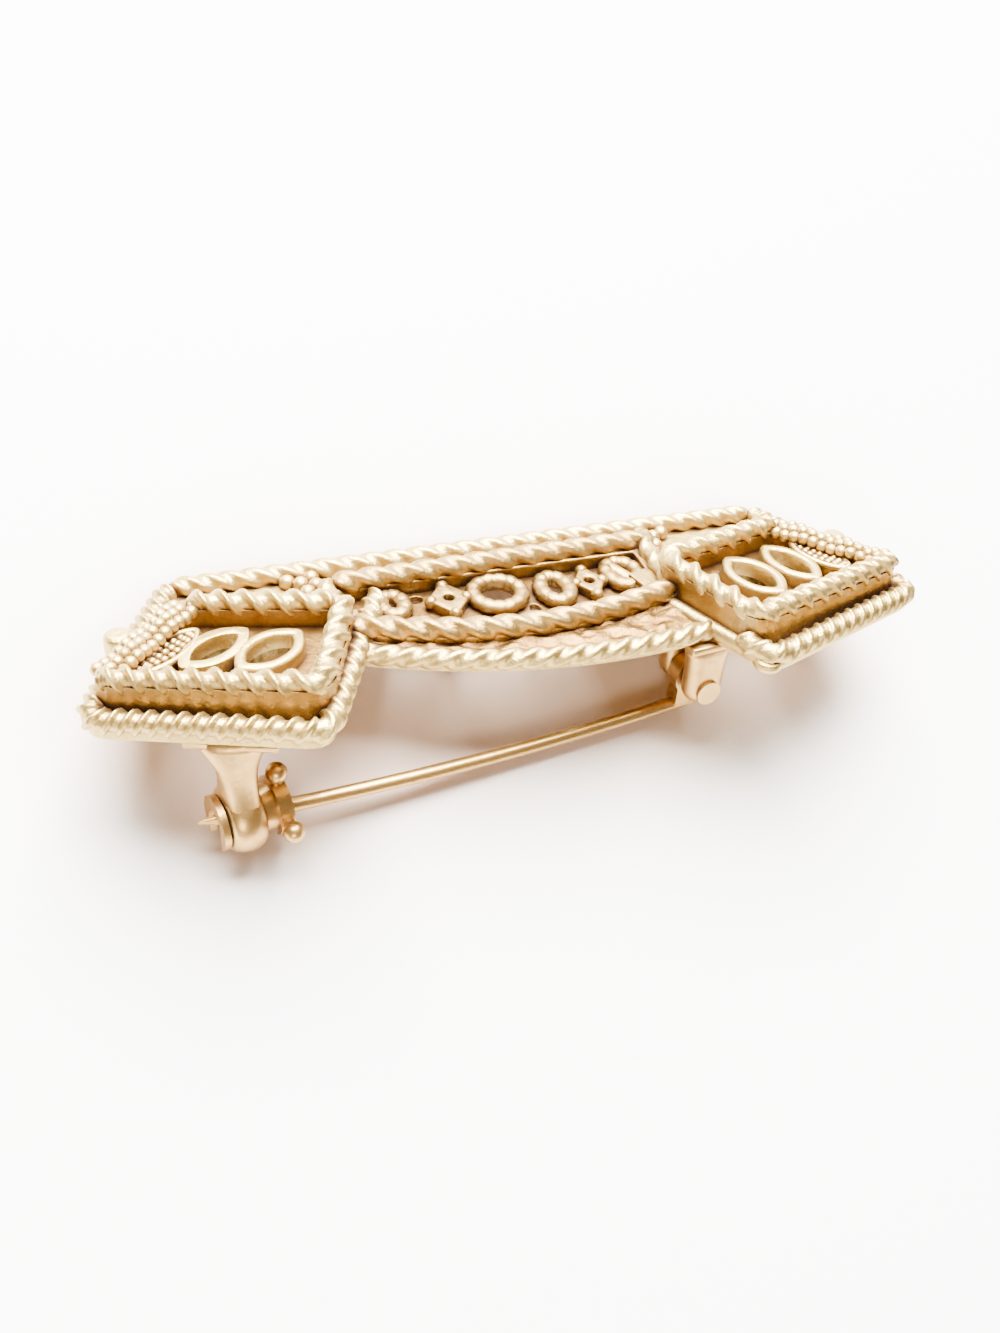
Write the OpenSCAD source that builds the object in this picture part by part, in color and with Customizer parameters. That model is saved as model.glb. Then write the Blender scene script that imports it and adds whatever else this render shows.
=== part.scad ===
// Openwork bar brooch, lying face up on a table.
// A rope-edged casting has a bowed centre bar and a raised four-sided panel at each end, all cut
// through in scrolls and rings. A swinging pin, its riveted hinge and a catch with a turning
// safety sleeve are soldered to its flat back.
// Lengths are in millimetres. In the face frame +Z points out of the face, +X runs along the bar
// from the catch to the hinge, and the zero plane is the casting's flat back.

/* [Rope borders] */
// Diameter of the rope borders
rope_d = 1.3; // [1.1:0.05:1.5]
// Thickness of a twisted rope section as a share of its diameter
rope_flat = 0.6; // [0.5:0.05:0.8]
// Diameter of the bar's low front rope
low_d = 0.9; // [0.8:0.05:1]
// Length of one strand's bump along a rope
bump = 1.3; // [1.1:0.1:1.6]

/* [End panels] */
// Height of the panels' rope above the back
panel_z = 2.2; // [2:0.1:2.4]
// Distance of a panel's front inner corner from the middle of the bar
panel_in = 10.3; // [10:0.1:10.8]
// Length of a panel's front side
panel_l = 9.3; // [9:0.1:9.6]
// Length of a panel's back side
panel_back_l = 7.1; // [6.8:0.1:7.4]
// Depth of a panel between its front and back ropes
panel_w = 5.9; // [5.6:0.1:6.2]
// Angle that a panel's front side makes with the bar
splay = 16.9; // [14:0.1:20]

/* [Centre bar] */
// Height of the bar's two inner ropes above the back
bar_z = 1.2; // [1.1:0.1:1.4]
// Height of the outer ropes above the back
rim_z = 0.8; // [0.75:0.05:0.85]
// Height of the bar's low front rope above the back
low_z = 0.55; // [0.5:0.05:0.6]
// How far the bar's front rope bows forward between the panels
bow = 1.6; // [1:0.1:2]
// How far the bar's low front rope bows forward
low_bow = 1.2; // [1:0.1:1.4]
// Thickness of the tray that carries the ropes
tray_t = 0.56; // [0.55:0.01:0.57]
// Thickness of the walls under the inner ropes
wall_t = 0.9; // [0.8:0.1:1]

/* [Openwork] */
// Width of a scroll's flat strip
strip_w = 0.62; // [0.5:0.02:0.7]
// Thickness of a panel's scrolls
scroll_t = 0.8; // [0.6:0.1:0.9]
// Depth of a panel's scrolls below its ropes
scroll_drop = 0.5; // [0.4:0.1:0.7]
// Thickness of the centre bar's scrolls
bar_scroll_t = 0.6; // [0.5:0.05:0.7]
// Height of the centre bar's scrolls above the back
bar_scroll_z = 0.75; // [0.7:0.05:0.8]
// Diameter of the small holes drilled between the scrolls
pierce_d = 0.7; // [0.6:0.05:0.8]

/* [Catch] */
// Radius of the catch's drum
drum_r = 1.7; // [1.6:0.05:1.75]
// Length of the drum along its bore
drum_l = 1.7; // [1.5:0.1:1.8]
// Depth of the drum's axis below the back
drum_drop = 4.9; // [4.8:0.1:5.1]
// Outer radius of the turning safety sleeve
sleeve_r = 1.1; // [1.05:0.05:1.15]
// Radius of the sleeve's bore, and half the width of its slit
bore_r = 0.7; // [0.66:0.01:0.72]
// Running clearance of the turning fits, on the radius
fit = 0.04; // [0.03:0.01:0.06]

/* [Hinge and pin] */
// Width of the hinge over both cheeks
hinge_w = 3.5; // [3.2:0.1:3.8]
// Width of the slot between the cheeks
slot_w = 0.95; // [0.9:0.05:1]
// Length of the hinge along the pin
hinge_l = 1.8; // [1.7:0.1:1.9]
// Depth of the rivet's axis below the back
rivet_drop = 2.75; // [2.6:0.05:2.9]
// Diameter of the rivet
rivet_d = 0.8; // [0.7:0.05:0.9]
// Diameter of the pin
pin_d = 0.7; // [0.65:0.05:0.75]
// How far the pin's middle sags below the line between its ends
pin_sag = 0.5; // [0.4:0.05:0.7]

/* [Lying on the table] */
// Backward tilt of the brooch on its catch and its back edge
rest_tilt = 34.444; // [32:0.001:36]

/* [Hidden] */
X = 0;
Y = 1;
Z = 2;
solder = 0.02;
ground_t = 0.6;
bar_ground_t = 0.4;
// Rings as [x, y, width, length, turn], lozenges as [x, y, width, length] and drilled holes as [x, y];
// a panel's are along and back from its front inner corner
PANEL_RINGS = [[2.35, 2.95, 2.9, 4.2, -14], [5.0, 2.95, 2.7, 4.2, -14]];
PANEL_LOZENGE = [7.2, 2.9, 1.9, 4.0];
PANEL_HOLES = [[0.75, 1.0], [1.0, 4.9], [3.75, 0.9], [3.6, 5.0], [6.3, 1.0], [5.9, 4.9]];
BAR_RINGS = [[-5.5, 1.25, 2.0, 3.5, 0], [-0.1, 0.6, 3.0, 4.5, 0], [2.6, 0.8, 1.9, 4.1, 0], [6.2, 1.3, 1.7, 3.3, 0]];
BAR_LOZENGES = [[-2.75, 0.9, 2.3, 4.6], [4.5, 1.1, 1.9, 4.3]];
BAR_HOLES = [[-4.1, 2.25], [-1.7, 2.25], [1.35, 2.25], [3.6, 2.25], [5.35, 2.25],
    [-4.2, -0.6], [-1.6, -1.05], [1.35, -1.2], [3.6, -1.1]];
steps = 3;
rope_sides = 4;
phase = 7;
sunk = 0.13;
half_bar = 8;
panel_front = -5.5;
bar_front = -0.6;
front_skew = -0.045;
bar_back = 3.2;
rim_back = 5.2;
rim_back_end = 15.4;
low_front = -2.73;
low_skew = -0.152;
low_end = 9;
rim_lip = 0.2;
catch_at = [-14.1, -4.9];
catch_yaw = 12;
hinge_at = [8.7, -2.8];
pin_yaw = atan2(hinge_at[Y] - catch_at[Y], hinge_at[X] - catch_at[X]);
stem_drop = 1.75;
tip_past = 1.9;
pad_t = 0.5;
LUGS = [85, -5];
// Place of the face frame's origin when the brooch lies on the table
rest_shift = [0, 1.6796, 3.0542];

gold = [0.93, 0.84, 0.62];
warm_gold = [0.9, 0.74, 0.45];

// How far a panel's back corners lean inward, and how much its depth tapers outward
lean = 0.55;
taper = 0.2;
// Turns of the outer rope at a panel's two front corners, along and back from those corners
RIM_INNER = [-0.25, -1.45];
RIM_OUTER = [0.5, -1.05];

// A panel's corners, in the order front inner, front outer, back outer, back inner
function panel_corner(along, back) = [
    panel_in + along * cos(splay) - back * sin(splay),
    panel_front + along * sin(splay) + back * cos(splay)
];
PANEL = [
    panel_corner(0, 0),
    panel_corner(panel_l, 0),
    panel_corner(panel_back_l - lean, panel_w - taper),
    panel_corner(-lean, panel_w + taper)
];
// The outer rope around a panel, in the order inner end, front inner, front outer, back outer
RIM = [
    [6.2, 2.4],
    panel_corner(RIM_INNER[X], RIM_INNER[Y]),
    panel_corner(panel_l + RIM_OUTER[X], RIM_OUTER[Y]),
    [rim_back_end, rim_back]
];
function front_edge(x) = bar_front + front_skew * x - bow * (1 - pow(x / half_bar, 2));
function low_edge(x) = low_front + low_skew * x - low_bow * (1 - pow(x / half_bar, 2));
function lift2(p, z) = [p[X], p[Y], z];
function side_of(t) = [-t[Y], t[X], 0] / norm([t[X], t[Y]]);
function straight(a, b, past = 0.1) = let (
    n = max(2, round(norm(b - a) / bump * steps)),
    end = (b - a) / norm(b - a) * past
) [for (i = [0:n]) a - end + (b - a + 2 * end) * i / n];

// One rope border: a flattened section that twists half a turn for each bump
module rope(path, d = rope_d) {
    n = len(path);
    k = rope_sides;
    points = [for (i = [0:n - 1])
        let (t = path[min(i + 1, n - 1)] - path[max(i - 1, 0)], side = side_of(t), w = phase - 180 * i / steps)
        for (j = [0:k - 1])
            let (a = 360 * j / k, p = d / 2 * cos(a), q = d / 2 * rope_flat * sin(a))
            path[i] + (p * cos(w) - q * sin(w)) * side + [0, 0, p * sin(w) + q * cos(w)]];
    skin(points, k);
}

// A solid through sections of k points each, that turn from the path's left side up and over
module skin(points, k) {
    n = len(points) / k;
    walls = [for (i = [0:n - 2], j = [0:k - 1])
        let (a = i * k + j, b = i * k + (j + 1) % k)
        each [[a, b + k, b], [a, a + k, b + k]]];
    ends = [for (j = [1:k - 2]) each [[0, j, j + 1], [(n - 1) * k, (n - 1) * k + j + 1, (n - 1) * k + j]]];
    polyhedron(points, concat(walls, ends));
}

module oval(x, y, w, h, turn = 0) {
    translate([x, y]) rotate(turn) scale([w, h]) circle(d = 1, $fn = 16);
}

module ring(x, y, w, h, turn = 0) {
    difference() {
        oval(x, y, w, h, turn);
        oval(x, y, w - 2 * strip_w, h - 2 * strip_w, turn);
    }
}

// A pierced lozenge, given as [x, y, width, length]
module lozenge(l) {
    translate([l[0], l[1]]) difference() {
        scale([l[2], l[3]]) circle(d = 1, $fn = 4);
        circle(d = l[2] * 0.38, $fn = 8);
    }
}

module rings(list) {
    for (r = list) ring(r[0], r[1], r[2], r[3], r[4]);
}

module ring_holes(list) {
    for (r = list) oval(r[0], r[1], r[2] - strip_w, r[3] - strip_w, r[4]);
}

module on_panel() {
    translate(PANEL[0]) rotate(splay) children();
}

module drilled(places) {
    for (p = places) translate(p) circle(d = pierce_d, $fn = 8);
}

// Scrolls of an end panel, raised on a ground that is pierced inside each ring
module panel_scrolls() {
    top = panel_z - scroll_drop;
    ground = top - scroll_t / 2;
    translate([0, 0, top - scroll_t]) linear_extrude(scroll_t) on_panel() {
        rings(PANEL_RINGS);
        lozenge(PANEL_LOZENGE);
    }
    translate([0, 0, ground - ground_t]) linear_extrude(ground_t) difference() {
        offset(delta = -wall_t / 4) polygon(PANEL);
        on_panel() {
            ring_holes(PANEL_RINGS);
            drilled(PANEL_HOLES);
        }
    }
}

// Scrolls of the centre bar, on their own pierced ground
module bar_scrolls() {
    bottom = bar_scroll_z - bar_scroll_t;
    translate([0, 0, bottom]) linear_extrude(bar_scroll_t) {
        rings(BAR_RINGS);
        for (l = BAR_LOZENGES) lozenge(l);
    }
    translate([0, 0, bottom - 0.05]) linear_extrude(bar_ground_t) difference() {
        offset(delta = -wall_t / 4) bar_window();
        ring_holes(BAR_RINGS);
        drilled(BAR_HOLES);
    }
}

module half_ropes() {
    for (i = [0:3]) rope(straight(lift2(PANEL[i], panel_z), lift2(PANEL[(i + 1) % 4], panel_z)));
    for (i = [0:2]) rope(straight(lift2(RIM[i], rim_z), lift2(RIM[i + 1], rim_z)));
}

module bar_ropes() {
    n = round(2 * half_bar / bump * steps);
    m = n + 2;
    rope([for (i = [0:n]) let (x = half_bar * (2 * i / n - 1)) [x, front_edge(x), bar_z]]);
    rope([for (i = [0:m]) let (x = (low_end + half_bar) * i / m - half_bar) [x, low_edge(x), low_z]], low_d);
    rope(straight([-half_bar, bar_back, bar_z], [half_bar, bar_back, bar_z]));
    rope(straight([-RIM[3][X], rim_back, rim_z], [RIM[3][X], rim_back, rim_z]));
}

// The sloping wall between the bar's two front ropes
module bar_slope() {
    high = bar_z - 0.35;
    skin([for (x = [-half_bar:1.7:low_end])
        let (top = front_edge(min(x, half_bar)) - 0.35)
        each [[x, top + 0.5, tray_t - 0.1], [x, top, high], [x, low_edge(x) + 0.25, tray_t - 0.1]]], 3);
}

// Outline of the whole brooch in plan, along the outer ropes
module outline() {
    bar_edge = [for (x = [-half_bar:1.7:low_end]) [x, low_edge(x)]];
    right = [for (i = [1:3]) RIM[i]];
    left = [for (i = [3:-1:1]) [-RIM[i][X], RIM[i][Y]]];
    polygon(concat(bar_edge, right, left));
}

module bar_window() {
    edge = [for (x = [-half_bar:1.6:half_bar]) [x, front_edge(x)]];
    polygon(concat(edge, [[half_bar, bar_back], [-half_bar, bar_back]]));
}

module both_panels(grow) {
    for (s = [1, -1]) scale([s, 1]) offset(delta = grow) polygon(PANEL);
}

// The plate behind the ropes and the plain walls on it, with the bar and both panels cut through
module tray() {
    difference() {
        union() {
            linear_extrude(tray_t) offset(delta = rim_lip) outline();
            translate([0, 0, tray_t / 2]) {
                linear_extrude(panel_z - sunk - tray_t / 2) both_panels(wall_t / 2);
                linear_extrude(bar_z - sunk - tray_t / 2) offset(delta = wall_t / 2) bar_window();
            }
        }
        translate([0, 0, -1]) linear_extrude(panel_z + 2) {
            both_panels(-wall_t / 2);
            difference() {
                offset(delta = -wall_t / 2) bar_window();
                both_panels(1.1);
            }
        }
    }
}

module openwork_face() {
    color(gold) {
        tray();
        bar_ropes();
        bar_slope();
        bar_scrolls();
        for (s = [0, 1]) mirror([s, 0, 0]) {
            half_ropes();
            panel_scrolls();
        }
    }
}

// Frames of the findings: +X along the bore from the free end to the hinge, +Z out of the back
module at_catch() {
    translate([catch_at[X], catch_at[Y], -drum_drop]) rotate(catch_yaw) children();
}

module at_hinge() {
    translate([hinge_at[X], hinge_at[Y], -rivet_drop]) rotate(pin_yaw) children();
}

// A cylinder along X, centred on x0 to x1
module along_x(r, x0, x1) {
    translate([x0, 0, 0]) rotate([0, 90, 0]) cylinder(r = r, h = x1 - x0, $fn = 48);
}

module along_y(r, y0, y1) {
    translate([0, y1, 0]) rotate([90, 0, 0]) cylinder(r = r, h = y1 - y0, $fn = 48);
}

// Half the outline of the catch's neck, as [distance from its middle, height], from the drum to the pad
NECK = [[1.4, 0], [1.2, 0.9], [0.95, 1.7], [0.95, 2.6], [1.1, 3.3], [1.4, 3.95], [1.75, 4.45]];

module catch_post() {
    neck_t = drum_l - 0.3;
    top = drum_drop - solder;
    color(warm_gold) at_catch() difference() {
        union() {
            along_x(drum_r, -drum_l / 2, drum_l / 2);
            translate([-neck_t / 2, 0, 0]) rotate([90, 0, 90]) linear_extrude(neck_t)
                polygon(concat(NECK, [for (i = [len(NECK) - 1:-1:0]) [-NECK[i][X], NECK[i][Y]]]));
            translate([-1.15, -2.1, top - pad_t]) cube([2.3, 4.2, pad_t]);
        }
        along_x(sleeve_r + fit, -drum_l, drum_l);
        translate([-drum_l, -bore_r - fit, -2 * drum_r]) cube([2 * drum_l, 2 * (bore_r + fit), 2 * drum_r]);
    }
}

module catch_sleeve() {
    end = drum_l / 2 + 0.06;
    flange_x = end + 0.5;
    flange_t = 0.65;
    flange_r = 1.4;
    color(warm_gold) at_catch() difference() {
        union() {
            along_x(sleeve_r, -end - 0.25, flange_x + flange_t / 2);
            along_x(flange_r, flange_x, flange_x + flange_t);
            along_x(sleeve_r + 0.2, -end - 0.3, -end);
            for (lug = LUGS) translate([flange_x + flange_t / 2, 0, 0]) rotate([90 - lug, 0, 0]) {
                translate([0, 0, flange_r - 0.2]) cylinder(d = 0.6, h = 0.7, $fn = 32);
                translate([0, 0, flange_r + 0.55]) sphere(d = 1.0, $fn = 32);
            }
        }
        along_x(bore_r, -3, 3);
        translate([-3, -bore_r, -3]) cube([6, 2 * bore_r, 3]);
    }
}

module hinge_block() {
    top = rivet_drop - solder;
    color(warm_gold) at_hinge() difference() {
        union() {
            along_y(hinge_l / 2, -hinge_w / 2, hinge_w / 2);
            translate([-hinge_l / 2, -hinge_w / 2, 0]) cube([hinge_l, hinge_w, top]);
            translate([-hinge_l / 2 - 0.3, -hinge_w / 2 - 0.2, top - pad_t]) cube([hinge_l + 0.6, hinge_w + 0.4, pad_t]);
        }
        translate([-hinge_l, -slot_w / 2, -hinge_l]) cube([2 * hinge_l, slot_w, hinge_l + top - pad_t]);
        along_y(rivet_d / 2 + 0.01, -hinge_w, hinge_w);
    }
}

module hinge_rivet() {
    head = 0.15;
    seat = hinge_w / 2 + 0.01;
    color(warm_gold) at_hinge() {
        along_y(rivet_d / 2, -seat - head, seat + head);
        along_y(rivet_d * 0.8, -seat - head, -seat);
        along_y(rivet_d * 0.8, seat, seat + head);
    }
}

// The stem sags along an arc from the eye to the catch, and ends in a cone
module pin_stem() {
    reach = norm([hinge_at[X] - catch_at[X], hinge_at[Y] - catch_at[Y]]);
    fall = rivet_drop + stem_drop - drum_drop;
    arc_r = (reach * reach / 4 + pin_sag * pin_sag) / (2 * pin_sag);
    half = asin(reach / 2 / arc_r);
    slope = asin(fall / reach);
    eye_r = 1.0;
    color(warm_gold) at_hinge() {
        difference() {
            union() {
                along_y(eye_r, -slot_w / 2 + fit, slot_w / 2 - fit);
                translate([-eye_r * 0.8, fit - slot_w / 2, -stem_drop])
                    cube([eye_r * 1.3, slot_w - 2 * fit, stem_drop]);
                translate([0, 0, -stem_drop]) rotate([0, slope, 0]) stem_arc(arc_r, half);
            }
            along_y(rivet_d / 2 + fit, -2, 2);
        }
    }
}

module stem_arc(arc_r, half) {
    tip = 1.2;
    past = asin((tip_past - tip) / arc_r);
    rotate([0, -half, 0]) translate([0, 0, arc_r]) rotate([90, 0, 0]) {
        rotate(-90) rotate([0, 0, -2 * half - past]) rotate_extrude(angle = 2 * half + past, $fn = 48)
            translate([arc_r, 0]) circle(d = pin_d, $fn = 32);
        rotate(-90 - 2 * half - past) translate([arc_r, 0, 0]) rotate([90, 0, 0])
            cylinder(d1 = pin_d, d2 = 0.12, h = tip, $fn = 32);
    }
}

// Turns the face frame back onto the table, with the catch's drum and the back edge touching it
module at_rest() {
    translate(rest_shift) rotate([-rest_tilt, 0, 0]) children();
}

at_rest() openwork_face();
at_rest() catch_post();
at_rest() catch_sleeve();
at_rest() hinge_block();
at_rest() hinge_rivet();
at_rest() pin_stem();
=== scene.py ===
# %% [markdown]
# # An openwork bar brooch, lying face up on a white table
# A brooch like this is cast in one piece: rope borders, plain walls and pierced scrolls. Its pin,
# hinge and catch are bought findings, soldered to the back. We take the pin, the rivet and the
# safety sleeve from the measured model, and build the rest again with finer detail. Sizes are in
# millimetres in the casting's own frame, where +Z comes out of its face and zero is its flat back.

# %% Load the measured model
import math

import bmesh
import bpy
from mathutils import Matrix, Vector, noise


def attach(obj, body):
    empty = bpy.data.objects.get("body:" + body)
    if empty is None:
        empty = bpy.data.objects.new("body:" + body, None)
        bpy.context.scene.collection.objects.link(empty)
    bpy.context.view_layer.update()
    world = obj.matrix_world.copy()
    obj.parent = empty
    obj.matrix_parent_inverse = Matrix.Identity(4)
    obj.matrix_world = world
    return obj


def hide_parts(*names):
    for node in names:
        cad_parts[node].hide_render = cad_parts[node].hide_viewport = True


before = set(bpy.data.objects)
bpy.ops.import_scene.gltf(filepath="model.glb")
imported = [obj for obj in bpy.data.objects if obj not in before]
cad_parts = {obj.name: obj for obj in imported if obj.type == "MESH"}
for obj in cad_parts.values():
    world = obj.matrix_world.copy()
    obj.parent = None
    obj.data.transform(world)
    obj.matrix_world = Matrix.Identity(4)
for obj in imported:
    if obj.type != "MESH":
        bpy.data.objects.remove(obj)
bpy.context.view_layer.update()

# %% [markdown]
# ## How the brooch lies
# It rests on its catch and its back edge, so it tilts back by about 34 degrees. Every new piece is
# made in the casting's frame, and one matrix lays it on the table, scaled to metres. The camera
# goes through the same matrix, because its place was worked out from the casting's own lines.

# %% The casting's frame on the table
TILT = math.radians(34.444)
LIFT = Vector((0, 1.6796, 3.0542))
LIE = Matrix.Scale(0.001, 4) @ Matrix.Translation(LIFT) @ Matrix.Rotation(-TILT, 4, "X")

# %% Camera at the photograph's angle
FOCAL, PHOTO_TALL, SENSOR = 1300, 1333, 36
EYE_AT = Vector((-18.87, -47.93, 35.96))
yaw, pitch, roll = math.radians(21.15), math.radians(37.02), math.radians(4.08)
ahead = Vector((math.sin(yaw) * math.cos(pitch), math.cos(yaw) * math.cos(pitch), -math.sin(pitch)))
right = Vector((math.cos(yaw), -math.sin(yaw), 0))
up = right.cross(ahead)
right, up = (right * math.cos(roll) + up * math.sin(roll),
             up * math.cos(roll) - right * math.sin(roll))
turn = LIE.to_3x3().normalized()
eye = bpy.data.objects.new("camera", bpy.data.cameras.new("camera"))
eye.data.lens = FOCAL * SENSOR / PHOTO_TALL
eye.data.sensor_width = SENSOR
eye.data.clip_start = 0.001
eye.matrix_world = Matrix.Translation(LIE @ EYE_AT) @ (
    turn @ Matrix((right, up, -ahead)).transposed()).to_4x4()
bpy.context.collection.objects.link(eye)
bpy.context.scene.camera = eye
print("camera", [round(v, 4) for v in eye.matrix_world.translation], "lens", round(eye.data.lens, 1))

# %% [markdown]
# ## Shader arithmetic
# A gold finish is mostly small sums: a mask times a colour, a noise that shifts the gloss. One small
# class wraps a socket, so that `1 - mask * 0.5` adds the Math nodes by itself. A second class holds
# a whole node tree, so that each node, its settings and its inputs take one call.

# %% A socket that can be added and multiplied
class Wire:
    """One output of a node tree, with arithmetic."""

    def __init__(self, nodes, socket):
        self.nodes = nodes
        self.socket = socket

    def math(self, operation, a, b):
        return self.nodes.add("ShaderNodeMath", {"operation": operation}, {0: a, 1: b})

    def __add__(self, other):
        return self.math("ADD", self, other)

    def __sub__(self, other):
        return self.math("SUBTRACT", self, other)

    def __rsub__(self, other):
        return self.math("SUBTRACT", other, self)

    def __mul__(self, other):
        return self.math("MULTIPLY", self, other)

    __radd__ = __add__
    __rmul__ = __mul__


# %% A node tree that is added to one call at a time
class Nodes:
    """The nodes of a material or of the world, and the shader at their end."""

    def __init__(self, owner, last):
        self.owner = owner
        owner.use_nodes = True
        self.tree = owner.node_tree
        self.shader = self.tree.nodes[last]

    def put(self, node, name, value):
        if isinstance(value, Wire):
            self.tree.links.new(value.socket, node.inputs[name])
        else:
            node.inputs[name].default_value = value

    def add(self, kind, settings=None, inputs=None, output=0):
        """Adds a node: its settings first, then values or links for its inputs."""
        node = self.tree.nodes.new(kind)
        for name, value in (settings or {}).items():
            if name == "stops":
                for stop, (place, colour) in zip(node.color_ramp.elements, value):
                    stop.position = place
                    stop.color = (*colour, 1)
            else:
                setattr(node, name, value)
        for name, value in (inputs or {}).items():
            self.put(node, name, value)
        return Wire(self, node.outputs[output])

    def set(self, **inputs):
        for name, value in inputs.items():
            self.put(self.shader, name.replace("_", " "), value)

    def between(self, mask, low, high, to=(0, 1)):
        """Maps a mask from low and high to 0 and 1, or to two other values."""
        return self.add("ShaderNodeMapRange", {"clamp": True}, {
            "Value": mask, "From Min": low, "From Max": high, "To Min": to[0], "To Max": to[1]})


# %% A finish for metal or paper
class Finish(Nodes):
    """A material, with the patterns that the finishes share."""

    def __init__(self, name):
        super().__init__(bpy.data.materials.new(name), "Principled BSDF")

    def millimetres(self):
        here = self.add("ShaderNodeTexCoord", output="Object")
        return self.add("ShaderNodeMapping", {}, {"Vector": here, "Scale": (1000, 1000, 1000)})

    def noise(self, place, scale, detail=3, rough=0.5):
        return self.add("ShaderNodeTexNoise", {}, {
            "Vector": place, "Scale": scale, "Detail": detail, "Roughness": rough})

    def openness(self, reach, samples=8):
        """How open a point is: 1 in the clear, and toward 0 where other metal is within reach."""
        return self.add("ShaderNodeAmbientOcclusion", {"samples": samples}, {"Distance": reach}, "AO")

    def blend(self, mask, a, b):
        """Colour a where the mask is 0 and colour b where it is 1."""
        a, b = (colour if isinstance(colour, Wire) else (*colour, 1) for colour in (a, b))
        return self.add("ShaderNodeMix", {"data_type": "RGBA"}, {0: mask, 6: a, 7: b}, 2)

    def bump(self, height, strength, distance):
        return self.add("ShaderNodeBump", {}, {
            "Height": height, "Strength": strength, "Distance": distance})


# %% [markdown]
# ## Golds
# The casting is thinly plated with pale champagne gold over brass, and a brown patina stays in its
# recesses, where polishing never reached. One recipe gives it three shades: bright ropes, walls and
# the bar in a darker copy that paints their shade, and grounds in the darkest copy, patina together
# with painted shade. The findings are warmer, and polished, with dirt and painted shade in their
# crevices. An Ambient Occlusion node finds the recesses and grooves and darkens them, painted shade
# together with the patina, so that both follow the shape wherever it goes.

# %% Cast gold in three shades
RECESS_REACH, GROOVE_REACH = 0.0014, 0.00045


def cast_gold(name, light, deep, tan, dark):
    """Rough cast gold in light and deep patches, painted shade in its grooves, and patina with
    painted shade in its recesses.
    """
    gold = Finish(name)
    mm = gold.millimetres()
    open_air = gold.openness(RECESS_REACH)
    groove = gold.openness(GROOVE_REACH)
    cloud = gold.noise(mm, 0.9, 4, 0.6)
    grain = gold.noise(mm, 9.0, 3, 0.6)
    # Painted shade: close to other metal the colour turns tan in the grooves and dark in the
    # recesses, where it also stands for patina.
    recess_shade_and_patina = gold.between(open_air * 0.5 + groove * 0.5 + grain * 0.16 - 0.08, 0.60, 0.22)
    colour = gold.blend(gold.between(cloud, 0.35, 0.7), light, deep)
    colour = gold.blend(gold.between(groove, 0.90, 0.5), colour, tan)
    gold.set(
        Base_Color=gold.blend(recess_shade_and_patina, colour, dark),
        Metallic=1 - recess_shade_and_patina * 0.3,
        Roughness=0.34 + cloud * 0.10 + recess_shade_and_patina * 0.20,
        Normal=gold.bump(grain + gold.noise(mm, 3.2, 3, 0.55) * 1.2, 0.28, 0.00012),
    )
    return gold


bright = cast_gold("cast champagne gold", light=(0.60, 0.435, 0.142), deep=(0.50, 0.34, 0.098),
                   tan=(0.31, 0.18, 0.060), dark=(0.13, 0.066, 0.028))
# A darker copy paints the shade of the walls and of the bar's ropes and scrolls.
shaded = cast_gold("dull wall gold", light=(0.37, 0.24, 0.070), deep=(0.28, 0.165, 0.046),
                 tan=(0.16, 0.082, 0.026), dark=(0.06, 0.028, 0.012))
# The darkest copy paints patina together with deep shade on the grounds and the bar's front slope.
patina_and_shade = cast_gold("stained gold", light=(0.20, 0.105, 0.027), deep=(0.15, 0.075, 0.020),
                    tan=(0.09, 0.042, 0.013), dark=(0.05, 0.022, 0.009))

# %% Polished yellow gold
# The third colour paints dirt together with shade, for the bores and crevices of the findings.
YELLOW, WORN_YELLOW, GRIME_AND_SHADE = (0.56, 0.345, 0.11), (0.49, 0.28, 0.08), (0.12, 0.05, 0.018)
GRIME_AND_SHADE_REACH = 0.0009
polished = Finish("polished yellow gold")
mm = polished.millimetres()
wear = polished.noise(mm, 1.6, 4, 0.6)
# Painted shade with dirt: the colour darkens where other metal is close.
grime_and_shade = polished.between(polished.openness(GRIME_AND_SHADE_REACH), 0.5, 0.12)
yellow = polished.blend(polished.between(wear, 0.4, 0.7), YELLOW, WORN_YELLOW)
polished.set(
    Base_Color=polished.blend(grime_and_shade, yellow, GRIME_AND_SHADE),
    Metallic=1.0,
    Roughness=0.30 + wear * 0.14 + grime_and_shade * 0.25,
    Normal=polished.bump(polished.noise(mm, 5.0, 2, 0.5), 0.10, 0.0001),
)
for name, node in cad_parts.items():
    node.data.materials.clear()
    node.data.materials.append(polished.owner)
print("finishes", [m.name for m in bpy.data.materials])

# %% [markdown]
# ## The plan of the casting
# Seen from above, the bar bows forward between two four-sided panels that splay outward. A second
# border runs lower down and further out, all the way round. These few corners place everything.

# %% Corners of the plan
PANEL_IN, PANEL_FRONT, SPLAY = 10.3, -5.5, math.radians(16.9)  # a panel's inner front corner
PANEL_L, PANEL_BACK, PANEL_W = 9.3, 7.1, 5.9  # the lengths of its front and back, and its depth
LEAN, SKEW = 0.55, 0.2  # how far its back side is shifted inward and turned
PANEL_Z, BAR_Z, RIM_Z, LOW_Z = 2.2, 1.2, 0.8, 0.55  # heights of the ropes' middles
HALF_BAR, BAR_BACK, RIM_END, RIM_BACK = 8.0, 3.2, 15.4, 5.2
TRAY_T, WALL_T, SUNK = 0.56, 0.9, 0.13


def panel_point(along, back):
    """A point given along the right panel's front side and back from it."""
    return Vector((PANEL_IN + along * math.cos(SPLAY) - back * math.sin(SPLAY),
                   PANEL_FRONT + along * math.sin(SPLAY) + back * math.cos(SPLAY)))


def front_edge(x):
    """The bar's bowed front rope."""
    return Vector((x, -0.6 - 0.045 * x - 1.6 * (1 - (x / HALF_BAR) ** 2)))


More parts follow.
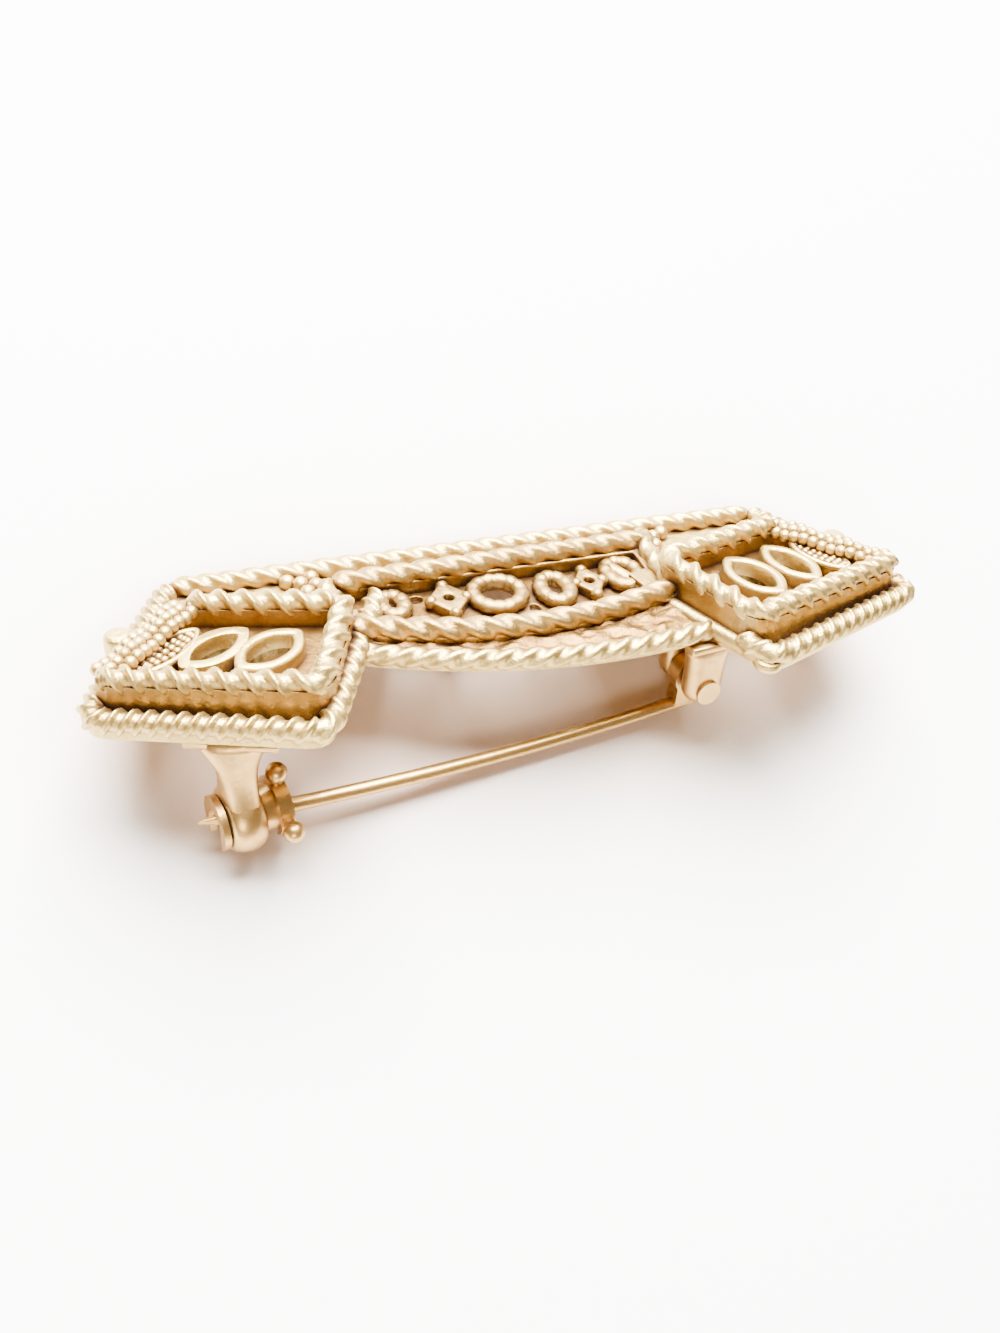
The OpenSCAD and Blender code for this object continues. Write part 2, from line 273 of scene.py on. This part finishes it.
def low_edge(x):
    """The lower rope in front of it."""
    return Vector((x, -2.73 - 0.152 * x - 1.2 * (1 - (x / HALF_BAR) ** 2)))


def mirrored(points):
    return [Vector((-p.x, p.y)) for p in reversed(points)]


panel = [panel_point(0, 0), panel_point(PANEL_L, 0),
         panel_point(PANEL_BACK - LEAN, PANEL_W - SKEW), panel_point(-LEAN, PANEL_W + SKEW)]
rim = [panel_point(-0.25, -1.45), panel_point(PANEL_L + 0.5, -1.05), Vector((RIM_END, RIM_BACK))]
low_front = [low_edge(i * 0.85 - HALF_BAR) for i in range(21)]
bar_front = [front_edge(i - HALF_BAR) for i in range(17)]
print("panel corners", [tuple(round(v, 1) for v in p) for p in panel])

# %% [markdown]
# ## Walls and tray
# The real walls are plain ribbons of metal that stand under the ropes. A flat face with holes in it,
# filled between closed loops of edges, is pushed up into a plate with real openings. A small bevel
# then rounds every edge as polishing would.

# %% A line with rounded corners, cut into even steps
CORNER_STEPS = 6


def rounded(corners, height, radius=0.7, closed=False, step=0.17):
    """Even points along a line through corners, each corner rounded off."""
    n = len(corners)
    line = []
    for i, here in enumerate(corners):
        if not closed and i in (0, n - 1):
            line.append(here)
            continue
        ways = [other - here for other in (corners[i - 1], corners[(i + 1) % n])]
        before, after = [here + way.normalized() * min(radius, way.length / 2) for way in ways]
        for f in (k / CORNER_STEPS for k in range(CORNER_STEPS + 1)):
            line.append(before * (1 - f) ** 2 + here * 2 * f * (1 - f) + after * f * f)
    if closed:
        line.append(line[0])
    far = [0.0]
    for a, b in zip(line, line[1:]):
        far.append(far[-1] + (b - a).length)
    count = max(2, round(far[-1] / step))
    out, k = [], 0
    for i in range(count + 1):
        want = far[-1] * i / count
        while k < len(far) - 2 and far[k + 1] < want:
            k += 1
        f = (want - far[k]) / max(far[k + 1] - far[k], 1e-9)
        out.append((line[k] + (line[k + 1] - line[k]) * f).to_3d() + Vector((0, 0, height)))
    return out


# %% Loops to fill
OVAL_POINTS = 40


def grown(points, by):
    """A closed loop moved outward by a distance, for a loop that runs anticlockwise."""
    points = [p.to_2d() for p in points]
    out = []
    for i, here in enumerate(points):
        a = (here - points[i - 1]).normalized()
        b = (points[(i + 1) % len(points)] - here).normalized()
        side = Vector((a.y + b.y, -a.x - b.x))
        out.append(here + side * by / (1 + a.dot(b)))
    return out


def oval(x, y, w, h, angle=0, pointed=0):
    """Even points round an oval. Pointed draws its two ends out."""
    turned = Matrix.Rotation(math.radians(angle), 2)
    out = []
    for i in range(OVAL_POINTS):
        a = 2 * math.pi * i / OVAL_POINTS
        p = Vector((w / 2 * math.cos(a) * (1 - pointed * math.sin(a) ** 4), h / 2 * math.sin(a)))
        out.append(turned @ p + Vector((x, y)))
    return out


# %% Plates with openings, and soft solid pads
def join(bm, part):
    """Adds a finished shape to another."""
    passed = bpy.data.meshes.new("passed")
    part.to_mesh(passed)
    part.free()
    bm.from_mesh(passed)
    bpy.data.meshes.remove(passed)


def plate(bm, loops, low, high, edge=0.08):
    """Fills between loops, pushes the face up from low to high and rounds its edges."""
    part = bmesh.new()
    for loop in loops:
        corners = [part.verts.new((p.x, p.y, low)) for p in loop]
        for a, b in zip(corners, corners[1:] + corners[:1]):
            part.edges.new((a, b))
    flat = bmesh.ops.triangle_fill(part, use_beauty=True, use_dissolve=True, edges=part.edges[:])
    faces = [g for g in flat["geom"] if isinstance(g, bmesh.types.BMFace)]
    top = bmesh.ops.extrude_face_region(part, geom=faces, use_keep_orig=True)
    raised = [g for g in top["geom"] if isinstance(g, bmesh.types.BMVert)]
    bmesh.ops.translate(part, vec=(0, 0, high - low), verts=raised)
    bmesh.ops.recalc_face_normals(part, faces=part.faces[:])
    sharp = [e for e in part.edges if e.is_manifold and e.calc_face_angle() > 0.6]
    bmesh.ops.bevel(part, geom=sharp, offset=edge, segments=2, profile=0.5, affect="EDGES",
                    material=-1, clamp_overlap=True)
    join(bm, part)


def loft(bm, rings):
    """Faces between one ring of corners and the next."""
    for lower, upper in zip(rings, rings[1:]):
        for i in range(len(lower)):
            bm.faces.new((lower[i - 1], lower[i], upper[i], upper[i - 1]))
    bm.faces.new(rings[-1])


def cushion(bm, loop, low, high, edge):
    """A closed loop pushed up from low to high, with wide quarter-round edges."""
    steps = [(math.sin(math.pi * k / 8), math.cos(math.pi * k / 8)) for k in range(5)]
    levels = [(low + edge * (1 - up), edge * (1 - out)) for up, out in reversed(steps)]
    levels += [(high - edge * (1 - up), edge * (1 - out)) for up, out in steps]
    rings = [[bm.verts.new((p.x, p.y, z)) for p in grown(loop, -inset)] for z, inset in levels]
    loft(bm, rings)
    bm.faces.new(rings[0][::-1])


# %% A piece that rides on its body
def lay(bm, name, finish, body="brooch", stands_for="openwork_face", smooth=True):
    """Lays a finished shape on the table as a piece that rides on a body."""
    bm.transform(LIE)
    for face in bm.faces:
        face.smooth = smooth
    mesh = bpy.data.meshes.new(name)
    bm.to_mesh(mesh)
    bm.free()
    mesh.materials.append(finish.owner)
    piece = bpy.data.objects.new(name, mesh)
    bpy.context.collection.objects.link(piece)
    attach(piece, body)
    if stands_for:
        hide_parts(stands_for)
    print(name, len(mesh.polygons), "faces")


# %% Tray and walls
hole_end = [Vector((6.5, 0.95)), Vector((7.55, 1.2)), Vector((7.55, 2.75))]
bar_hole = [p + Vector((0, WALL_T / 2)) for p in bar_front[1:-1]] + hole_end + mirrored(hole_end)
panels = [rounded(p, 0, 0.8, closed=True, step=0.3)[:-1] for p in (panel, mirrored(panel))]
holes = [grown(p, -WALL_T / 2) for p in panels]
outline = rounded(low_front + rim + mirrored(rim), 0, 0.9, closed=True, step=0.3)[:-1]
# Each stud: its place across and back, its width and its height.
STUDS = [(rim[0].x - 0.05, rim[0].y + 0.3, 1.4, 0.6), (18.1, 0.9, 1.3, 1.75), (-18.1, 0.9, 1.3, 1.75)]
tray = bmesh.new()
plate(tray, [grown(outline, 0.2), bar_hole, *holes], 0, TRAY_T, edge=0.12)
for across, back, wide, high in STUDS:
    cushion(tray, oval(across, back, wide, wide), 0, high, edge=0.3)
walls = bmesh.new()
for wall, hole in zip(panels, holes):
    plate(walls, [grown(wall, WALL_T / 2), hole], TRAY_T / 2, PANEL_Z - SUNK)
bar_wall = bar_front + [Vector((HALF_BAR, BAR_BACK)), Vector((-HALF_BAR, BAR_BACK))]
plate(walls, [grown(bar_wall, WALL_T / 2), bar_hole], TRAY_T / 2, BAR_Z - SUNK)
lay(tray, "tray", bright, smooth=False)
# The walls take the darker gold, as painted shade under the ropes.
lay(walls, "walls", shaded, smooth=False)

# %% Sloping wall along the bar's front
SLOPE_ROWS, SLOPE_TOP = 6, BAR_Z - 0.35
LUMPS = (0.18, 1.7), (0.12, 4.3)  # how deep, and how many to a millimetre
slope = bmesh.new()
columns = []
for low in low_front:
    high = front_edge(min(low.x, HALF_BAR)) - Vector((0, 0.3))
    down = low + Vector((0, 0.2)) - high
    columns.append([slope.verts.new((*(high + down * k / SLOPE_ROWS),
                                     SLOPE_TOP - (SLOPE_TOP - TRAY_T) * (k / SLOPE_ROWS) ** 0.8))
                    for k in range(SLOPE_ROWS + 1)])
for a, b in zip(columns, columns[1:]):
    for i in range(SLOPE_ROWS):
        slope.faces.new((a[i], a[i + 1], b[i + 1], b[i]))
bmesh.ops.subdivide_edges(slope, edges=slope.edges[:], cuts=2, use_grid_fill=True)
for v in slope.verts:
    v.co.z += sum(deep * noise.noise(v.co * fine) for deep, fine in LUMPS)
# The slope takes the darkest gold, patina together with painted shade.
lay(slope, "bar_slope", patina_and_shade)

# %% [markdown]
# ## Rope borders
# Each border is cast from twisted wire, so its section has two or three lobes and turns as it runs.
# We make one circle, press grooves into it, and extrude it along the border a step at a time,
# turning a little at each step. One strand is about 1.2 mm from the next, and both ends taper.

# %% A section run along a line, turning as it goes
STRAND_OUT, STRAND_R = 0.54, 0.46  # a strand's middle and radius, as parts of the rope's radius
ENDS = (0.5, 0.78, 0.93, 1)
NICK = 0.86


def lobed(bm, radius, strands, groove, sides):
    """A circle with a groove pressed in between each strand and the next."""
    section = bmesh.ops.create_circle(bm, cap_ends=False, segments=sides * strands, radius=1)["verts"]
    half = math.pi / strands
    for v in section:
        off = (math.atan2(v.co.y, v.co.x) + half) % (2 * half) - half
        reach = STRAND_OUT * math.cos(off) + math.sqrt(
            max(STRAND_R ** 2 - (STRAND_OUT * math.sin(off)) ** 2, 0))
        keep = (reach ** 9 + groove ** 9) ** (1 / 9) if strands > 1 else 1
        v.co *= radius * min(keep, 1)
    return section


def run(bm, path, radius, spacing=0, strands=3, hand=1, closed=False, flat=1.0, groove=0.74, sides=8,
        nicks=0, tight=0.0):
    """Extrudes a lobed section along a path. Spacing is the distance between strands, or 0 for no
    twist. Nicks is the distance between small cuts across a plain section, or 0 for none. Tight
    crowds the strands toward the two ends of the brooch."""
    section = lobed(bm, radius, strands, groove, sides)
    turned = [0.0]
    for a, b in zip(path, path[1:]):
        turned.append(turned[-1] + (b - a).length * (1 + tight * min(1, max(0, abs(b.x) / 9 - 1.1))))
    length = turned[-1]
    strand_turn = 2 * math.pi / strands
    twist = hand * strand_turn / spacing * length if spacing else 0
    if closed and spacing:
        twist = round(twist / strand_turn) * strand_turn
    n = len(path)

    def frame_at(i):
        a = path[i - 1] if i else (path[-2] if closed else path[0])
        b = path[i + 1] if i < n - 1 else (path[1] if closed else path[-1])
        along = (b - a).normalized()
        side = Vector((0, 0, 1)).cross(along).normalized()
        axes = Matrix((side, along.cross(side), along)).transposed().to_4x4()
        if nicks and i % max(1, round(nicks * (n - 1) / length)) == 0:
            axes = axes @ Matrix.Scale(NICK, 4)
        if not closed:
            axes = axes @ Matrix.Scale(ENDS[min(i, n - 1 - i, 3)], 4)
        return (Matrix.Translation(path[i]) @ axes @ Matrix.Diagonal((1, flat, 1, 1))
                @ Matrix.Rotation(twist * turned[i] / length, 4, "Z"))

    last = frame_at(0)
    bmesh.ops.transform(bm, matrix=last, verts=section)
    first = loop = list({e for v in section for e in v.link_edges})
    for i in range(1, n):
        new = bmesh.ops.extrude_edge_only(bm, edges=loop)["geom"]
        ring = {g for g in new if isinstance(g, bmesh.types.BMVert)}
        loop = [e for e in {e for v in ring for e in v.link_edges}
                if e.other_vert(e.verts[0]) in ring and e.verts[0] in ring]
        now = frame_at(i)
        bmesh.ops.transform(bm, matrix=now @ last.inverted(), verts=list(ring))
        last = now
    if closed:
        bmesh.ops.remove_doubles(bm, verts=list(section) + list(ring), dist=0.002)
    else:
        for edges in (first, loop):
            bmesh.ops.edgeloop_fill(bm, edges=edges)


# %% Ropes of the casting
PAIR = {"strands": 2, "sides": 12, "tight": 0.5}  # a rope of two strands
ropes = bmesh.new()
open_panel = [panel[1], panel[0], panel[3], panel[2]]
inner_ends = {1: rim[0].lerp(Vector((6.2, 2.4)), 0.2), -1: Vector((5.9, 2.6))}
for side, inner_end in inner_ends.items():
    three_sides = [Vector((side * p.x, p.y)) for p in open_panel]
    rim_line = [Vector((side * p.x, p.y)) for p in [inner_end, *rim]]
    bar_end = [Vector((side * 8.3, 3.5)), Vector((side * 8.1, -0.9))]
    run(ropes, rounded(three_sides, PANEL_Z, 0.8), radius=0.65, spacing=1.25, groove=0.62, **PAIR)
    run(ropes, rounded(rim_line, RIM_Z, 0.9), radius=0.62, spacing=0.95, hand=-1,
        groove=0.75 + 0.05 * side, **PAIR)
    run(ropes, rounded(bar_end, BAR_Z), radius=0.55, spacing=1.2, strands=2)
back_line = [Vector((RIM_END, RIM_BACK)), Vector((-RIM_END, RIM_BACK))]
run(ropes, rounded(back_line, RIM_Z), radius=0.575, spacing=1.2, tight=0.4)
run(ropes, rounded([inner_ends[-1], rim[0]], 0.5), radius=0.42, strands=1, sides=16)
run(ropes, rounded(low_front, LOW_Z, 0.3), radius=0.52, spacing=1.12, hand=-1)
bmesh.ops.recalc_face_normals(ropes, faces=ropes.faces[:])
lay(ropes, "rope_borders", bright)

# %% Ropes of the bar, which lie deeper, in the darker gold that paints their shade
bar_ropes = bmesh.new()
bar_back = [Vector((-8, BAR_BACK)), Vector((8.9, BAR_BACK + 0.3))]
for line in (bar_front, bar_back):
    run(bar_ropes, rounded(line, BAR_Z, 0.3), radius=0.62, spacing=1.34)
bmesh.ops.recalc_face_normals(bar_ropes, faces=bar_ropes.faces[:])
lay(bar_ropes, "bar_ropes", shaded)

# %% [markdown]
# ## Pierced scrolls
# Inside the ropes, ovals and lozenges of flat strip stand on a ground that is pierced through. The
# ovals of the centre bar are nicked across, like milled wire. The outer end of each panel carries a
# leaf covered in tiny beads, and rows of larger beads edge its open side.

# %% Places for bands and beads
def at_height(points, z):
    """A closed loop at a height, with its first point again at its end."""
    return [p.to_3d() + Vector((0, 0, z)) for p in points + points[:1]]


def on_panel(points, side):
    """Points given along a panel's front and back from it, moved into the plan. Side is 1 for the
    right panel and -1 for the left."""
    placed = [panel_point(p.x, p.y) for p in points]
    return [Vector((side * p.x, p.y)) for p in placed][::side]


def bead(bm, place, z, radius):
    made = bmesh.ops.create_icosphere(bm, subdivisions=2, radius=radius)["verts"]
    bmesh.ops.translate(bm, vec=(place.x, place.y, z), verts=made)


# %% Panel scrolls
PANEL_TOP = PANEL_Z - 0.3
# Each oval and leaf: its place along and back, its width and height, its turn and its points.
LEAVES = {
    1: [(2.75, 3.1, 2.5, 3.9, 6, 0.4), (5.2, 3.0, 2.2, 3.8, 6, 0.45), (7.05, 2.8, 1.5, 3.4, 12, 0.5)],
    -1: [(2.55, 2.9, 2.5, 3.9, 40, 0.45), (4.95, 2.85, 2.2, 3.9, 40, 0.5),
         (7.0, 2.5, 1.5, 3.9, 34, 0.5)],
}
PANEL_GROUND = [Vector(p) for p in ((0.2, 0.2), (9.0, 0.2), (6.4, 5.6), (-0.4, 5.8))]
OPEN_SIDE = Vector((9.15, 0.3)), Vector((6.6, 5.6))
CORNER_BEADS = (8.6, 3.9), (9.1, 3.4), (9.3, 4.2), (9.9, 4.5), (8.7, 4.6)
LEAF_BEAD, SIDE_BEAD, CORNER_BEAD = 0.21, 0.33, 0.42  # radii
SIDE_COUNT = 12
panel_scrolls = bmesh.new()
grounds = bmesh.new()
for side, leaves in LEAVES.items():
    bands = [on_panel(oval(*leaf), side) for leaf in leaves]
    inner = [on_panel(oval(x, y, w - 1.0, h - 1.25, angle, pointed), side)
             for x, y, w, h, angle, pointed in leaves[:2]]
    for band, hole in zip(bands, inner):
        plate(panel_scrolls, [band, hole], TRAY_T, PANEL_TOP, edge=0.17)
    plate(grounds, [on_panel(PANEL_GROUND, side), *inner], 0.25, PANEL_TOP - 0.75, edge=0.06)
    plate(panel_scrolls, [bands[2]], TRAY_T, PANEL_TOP - 0.25, edge=0.14)
    run(panel_scrolls, at_height(bands[2], PANEL_TOP - 0.12), radius=0.16, strands=1, closed=True)
    x, y, w, h, angle, pointed = leaves[2]
    turned = Matrix.Rotation(math.radians(angle), 2)
    for i in range(-4, 5):
        for j in (-1, 0, 1):
            p = turned @ Vector((j * 0.4 * (1 - abs(i) / 6), i * h / 10)) + Vector((x, y))
            bead(panel_scrolls, on_panel([p], side)[0], PANEL_TOP - 0.18, LEAF_BEAD)
    for i in range(SIDE_COUNT):
        for j in (-1, 0, 1):
            f = (i + 0.5 * (j % 2)) / SIDE_COUNT
            p = OPEN_SIDE[0].lerp(OPEN_SIDE[1], f) + Vector((0.42, 0.18)) * j
            height = PANEL_Z - 0.12 * abs(j) + 0.08 * math.sin(5 * i + j)
            bead(panel_scrolls, on_panel([p], side)[0], height, SIDE_BEAD)
    for x, y in CORNER_BEADS:
        bead(panel_scrolls, Vector((side * x, y)), 0.78, CORNER_BEAD)
bmesh.ops.recalc_face_normals(panel_scrolls, faces=panel_scrolls.faces[:])
lay(panel_scrolls, "panel_scrolls", bright)

# %% Bar scrolls
BAR_TOP = BAR_Z - 0.3
# Each ring, lozenge and hole: its place across and back, its width and its depth.
RINGS = (-5.4, 1.6, 1.7, 2.2), (-0.2, 1.4, 3.0, 3.0), (2.7, 1.1, 2.0, 2.7), (6.5, 1.6, 2.2, 2.7)
LOZENGES = (-2.7, 1.3, 2.2, 2.9), (4.5, 1.1, 1.7, 2.7)
HOLES = ((-5.4, 1.6, 0.9, 1.4), (-0.2, 1.4, 2.1, 2.1), (2.7, 1.1, 1.2, 1.9), (6.5, 1.6, 1.2, 1.7),
         (-4.1, 2.2, 0.7, 0.6), (-4.2, 0.3, 0.8, 0.9), (-1.6, -0.4, 0.7, 0.7), (1.35, 0.1, 0.5, 0.8),
         (3.65, 2.2, 0.6, 0.6), (3.5, -0.7, 0.6, 0.5))
bar_scrolls = bmesh.new()
for x, y, w, h in RINGS:
    run(bar_scrolls, at_height(oval(x, y, w - 0.6, h - 0.6), BAR_TOP - 0.3), radius=0.42, strands=1,
        closed=True, flat=0.9, sides=12, nicks=0.55)
for x, y, w, h in LOZENGES:
    lozenge = oval(x, y, w, h)[::OVAL_POINTS // 4]
    plate(bar_scrolls, [lozenge, oval(x, y, 0.55, 0.6)[::4]], BAR_TOP - 0.8, BAR_TOP, edge=0.14)
    for corner in lozenge:
        bead(bar_scrolls, corner * 0.8 + Vector((x, y)) * 0.2, BAR_TOP - 0.2, 0.34)
ground_end = [Vector((7.6, 0.9)), Vector((7.6, 2.9))]
ground = [front_edge(x) + Vector((0, 0.3)) for x in range(-7, 8)] + ground_end + mirrored(ground_end)
plate(grounds, [ground, *(oval(*hole) for hole in HOLES)], 0.05, 0.35, edge=0.06)
bmesh.ops.recalc_face_normals(bar_scrolls, faces=bar_scrolls.faces[:])
# The bar's scrolls take the darker gold, as painted shade.
lay(bar_scrolls, "bar_scrolls", shaded)
# The pierced grounds take the darkest gold, patina together with painted shade.
lay(grounds, "pierced_ground", patina_and_shade, smooth=False)

# %% [markdown]
# ## Findings
# The hinge is a domed block with a slot for the pin. The catch is a short barrel on a waisted post,
# open below, in which the safety sleeve turns. Both have the soft edges of small polished castings.

# %% Where the findings sit
def finding(x, y, drop, angle):
    """The middle of a finding's bore, below the casting's back, and its turn."""
    return Matrix.Translation((x, y, -drop)) @ Matrix.Rotation(angle, 4, "Z")


AT_CATCH = finding(-14.1, -4.9, 4.9, math.radians(12))
AT_HINGE = finding(8.7, -2.8, 2.75, math.atan2(2.1, 22.8))
UPRIGHT = Matrix.Rotation(math.radians(90), 4, "X")

# %% Hinge block
CHEEK_IN, CHEEK_OUT, FOOT_DEEP, SEAT = 0.475, 1.75, 0.9, 2.73
SHOULDERS = [Vector(p) for p in ((1.03, 1.2), (1.1, 2.0), (1.25, SEAT))]
hinge = bmesh.new()
cheek = [Vector((math.sin(a), -FOOT_DEEP * math.cos(a)))
         for a in (math.radians(15 * i - 90) for i in range(13))] + SHOULDERS + mirrored(SHOULDERS)
for low, high in ((-CHEEK_OUT, -CHEEK_IN), (CHEEK_IN, CHEEK_OUT)):
    cushion(hinge, cheek, low, high, edge=0.6)
bridge = [Vector(p) for p in ((-1.2, 2.3), (1.2, 2.3), (1.2, SEAT), (-1.2, SEAT))]
plate(hinge, [bridge], -1.7, 1.7, edge=0.1)
bmesh.ops.transform(hinge, matrix=AT_HINGE @ UPRIGHT, verts=hinge.verts[:])
lay(hinge, "hinge_dome", polished, stands_for="hinge_block")

# %% Catch barrel, open below
BARREL_END, BORE_R, MOUTH = 0.85, 1.14, math.asin(0.72 / 1.4)
# Each corner of the barrel's outside, from its middle outward: place along it, and radius.
BULGE = ((0.33, 1.66), (0.6, 1.55), (0.76, 1.4), (0.84, 1.22))
post = bmesh.new()
profile = [(-BARREL_END, BORE_R), *((-x, r) for x, r in reversed(BULGE)), (0, 1.7), *BULGE,
           (BARREL_END, BORE_R)]
ring = [post.verts.new((x, -r * math.sin(MOUTH), -r * math.cos(MOUTH))) for x, r in profile]
start = [post.edges.new((a, b)) for a, b in zip(ring, ring[1:] + ring[:1])]
end = bmesh.ops.spin(post, geom=ring + start, axis=(1, 0, 0), cent=(0, 0, 0), steps=48,
                     angle=-(2 * math.pi - 2 * MOUTH), use_merge=False)["geom_last"]
for edges in (start, [g for g in end if isinstance(g, bmesh.types.BMEdge)]):
    bmesh.ops.edgeloop_fill(post, edges=edges)

# %% Catch neck and pad
NECK_POINTS, NECK_TURN = 32, -31
# Each section of the neck: its height over the barrel's middle, its half width and half depth.
NECK = ((1.1, 0.8, 1.2), (1.9, 0.8, 1.0), (2.7, 0.86, 0.95), (3.3, 1.0, 0.98), (3.8, 1.22, 1.05),
        (4.3, 1.5, 1.05), (4.85, 1.6, 1.1))
neck = bmesh.new()
rings = []
for z, wide, deep in NECK:
    slant = Matrix.Rotation(math.radians(NECK_TURN * max(0, z - 1.9) / 2.95), 2)
    ring = []
    for a in (2 * math.pi * k / NECK_POINTS for k in range(NECK_POINTS)):
        p = slant @ Vector((math.copysign(wide * abs(math.cos(a)) ** 0.7, math.cos(a)),
                            math.copysign(deep * abs(math.sin(a)) ** 0.7, math.sin(a))))
        ring.append(neck.verts.new((p.x, p.y + max(0, z - 3) * 0.12, z)))
    rings.append(ring)
loft(neck, rings)
pad = [slant @ Vector(p) for p in ((-2.0, -0.85), (2.0, -0.85), (2.0, 1.3), (-2.0, 1.3))]
cushion(neck, pad, 4.4, 4.88, edge=0.15)
join(post, neck)
bmesh.ops.recalc_face_normals(post, faces=post.faces[:])
bmesh.ops.transform(post, matrix=AT_CATCH, verts=post.verts[:])
lay(post, "catch_barrel", polished, stands_for="catch_post")

# %% [markdown]
# ## Table and light
# The photograph is a bright, nearly shadowless studio shot. A white table and a pale surround give
# the gold something bright to reflect. Close under the brooch the table is painted tan, a painted
# shadow warmed like paper in the light thrown back by gold. A large lamp above and behind brightens
# the tops and lets a soft shadow fall toward the viewer, and a small one in front puts a glint on the
# findings.

# %% White table
WHITE, SHADOW_TAN = (0.90, 0.885, 0.87), (0.56, 0.40, 0.29)
paper = Finish("white table")
# Painted shadow: the table turns tan where the brooch is close, warmed like paper in light thrown
# back by gold.
brooch_shadow = paper.openness(0.022, samples=16)
paper.set(Base_Color=paper.blend(paper.between(brooch_shadow, 0.97, 0.62), WHITE, SHADOW_TAN), Roughness=0.6)
bm = bmesh.new()
bmesh.ops.create_grid(bm, x_segments=1, y_segments=1, size=1.5)
mesh = bpy.data.meshes.new("table")
bm.to_mesh(mesh)
bm.free()
mesh.materials.append(paper.owner)
table = bpy.data.objects.new("table", mesh)
bpy.context.collection.objects.link(table)

# %% Surround, brighter and paler behind and above
surround = Nodes(bpy.data.worlds.new("surround"), "Background")
DARK_SIDE, BRIGHT_SIDE = -0.65, 0.8
WARM, PALE = (1.0, 0.72, 0.50), (1.0, 0.86, 0.72)
where = surround.add("ShaderNodeTexCoord", output="Generated")
back = surround.add("ShaderNodeVectorMath", {"operation": "DOT_PRODUCT"},
                    {0: where, 1: (0.1, 0.9, 0.3)}, "Value")
tint = surround.add("ShaderNodeValToRGB", {"stops": ((0.15, WARM), (0.75, PALE))},
                    {"Fac": surround.between(back, DARK_SIDE, BRIGHT_SIDE)})
surround.set(Color=tint, Strength=surround.between(back, DARK_SIDE, BRIGHT_SIDE, to=(0.36, 0.52)))
bpy.context.scene.world = surround.owner


# %% Lamps
def lamp(name, place, size, power, colour=(1, 1, 1)):
    """A square lamp that faces the brooch."""
    light = bpy.data.lights.new(name, "AREA")
    light.size = size
    light.energy = power
    light.color = colour
    holder = bpy.data.objects.new(name, light)
    facing = Vector(place).to_track_quat("Z", "Y").to_matrix().to_4x4()
    holder.matrix_world = Matrix.Translation(place) @ facing
    bpy.context.collection.objects.link(holder)


lamp("lamp_behind", (0.04, 0.30, 0.33), 0.36, 40)
lamp("lamp_front", (-0.12, -0.30, 0.26), 0.12, 1.5, (1, 0.92, 0.80))
